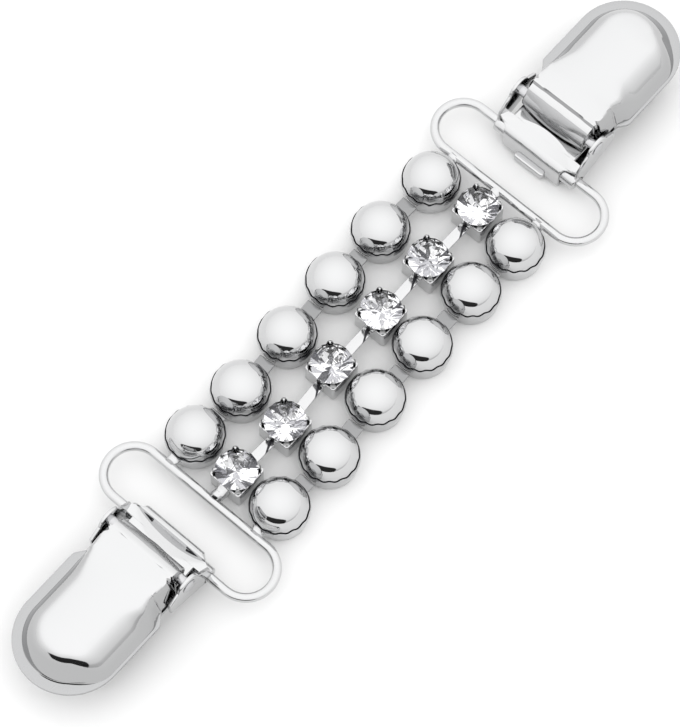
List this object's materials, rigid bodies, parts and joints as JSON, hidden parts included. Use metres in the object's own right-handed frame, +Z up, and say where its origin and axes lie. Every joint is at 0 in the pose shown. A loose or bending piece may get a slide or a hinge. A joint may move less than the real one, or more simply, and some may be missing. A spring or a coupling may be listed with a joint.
{
  "type": "sweater clip",
  "caption": "Jewelled sweater clip: a panel of polished domes and cut stones between wire loops, with a hinged lever clip at each end that grips a cardigan's edge.",
  "frame": {"origin": "centre of the part on the surface that it lies on", "axes": "+X along the part from clip a to clip b, +Y across the panel to the far row, +Z up from the surface"},
  "size_m": [0.1288, 0.0294, 0.0104],
  "materials": {
    "wire_metal": "polished silver-tone plating",
    "body_metal": "polished silver-tone plating",
    "cover_metal": "polished silver-tone plating",
    "pin_metal": "polished silver-tone plating",
    "dome_metal": "polished silver-tone plating",
    "cup_metal": "polished silver-tone plating",
    "setting_metal": "polished silver-tone plating",
    "clear_stone": "clear cut stone with a foiled back"
  },
  "bodies": {
    "panel": {"loop_a": "wire_metal", "loop_b": "wire_metal", "dome_n1": "dome_metal", "dome_n2": "dome_metal", "dome_n3": "dome_metal", "dome_n4": "dome_metal", "dome_n5": "dome_metal", "dome_n6": "dome_metal", "cup_n2": "cup_metal", "cup_n3": "cup_metal", "cup_n4": "cup_metal", "cup_n5": "cup_metal", "dome_f1": "dome_metal", "dome_f2": "dome_metal", "dome_f3": "dome_metal", "dome_f4": "dome_metal", "dome_f5": "dome_metal", "dome_f6": "dome_metal", "cup_f2": "cup_metal", "cup_f3": "cup_metal", "cup_f4": "cup_metal", "cup_f5": "cup_metal", "stone_1": "clear_stone", "stone_2": "clear_stone", "stone_3": "clear_stone", "stone_4": "clear_stone", "stone_5": "clear_stone", "stone_6": "clear_stone", "setting_2": "setting_metal", "setting_3": "setting_metal", "setting_4": "setting_metal", "setting_5": "setting_metal"},
    "clip_a": {"base_a": "body_metal", "pin_a": "pin_metal"},
    "clip_b": {"base_b": "body_metal", "pin_b": "pin_metal"},
    "cover_a": {"lever_a": "cover_metal"},
    "cover_b": {"lever_b": "cover_metal"}
  },
  "joints": [
    {"name": "clip_a_swing", "type": "hinge", "parent": "panel", "child": "clip_a", "pos_m": [-0.038, 0, 0.00252], "axis": [0, 1, 0], "range_deg": [-90, 60]},
    {"name": "clip_b_swing", "type": "hinge", "parent": "panel", "child": "clip_b", "pos_m": [0.038, 0, 0.00252], "axis": [0, -1, 0], "range_deg": [-90, 60]},
    {"name": "lever_a_open", "type": "hinge", "parent": "clip_a", "child": "cover_a", "pos_m": [-0.04175, 0, 0.0074], "axis": [0, 1, 0], "range_deg": [0, 100]},
    {"name": "lever_b_open", "type": "hinge", "parent": "clip_b", "child": "cover_b", "pos_m": [0.04175, 0, 0.0074], "axis": [0, -1, 0], "range_deg": [0, 100]}
  ]
}
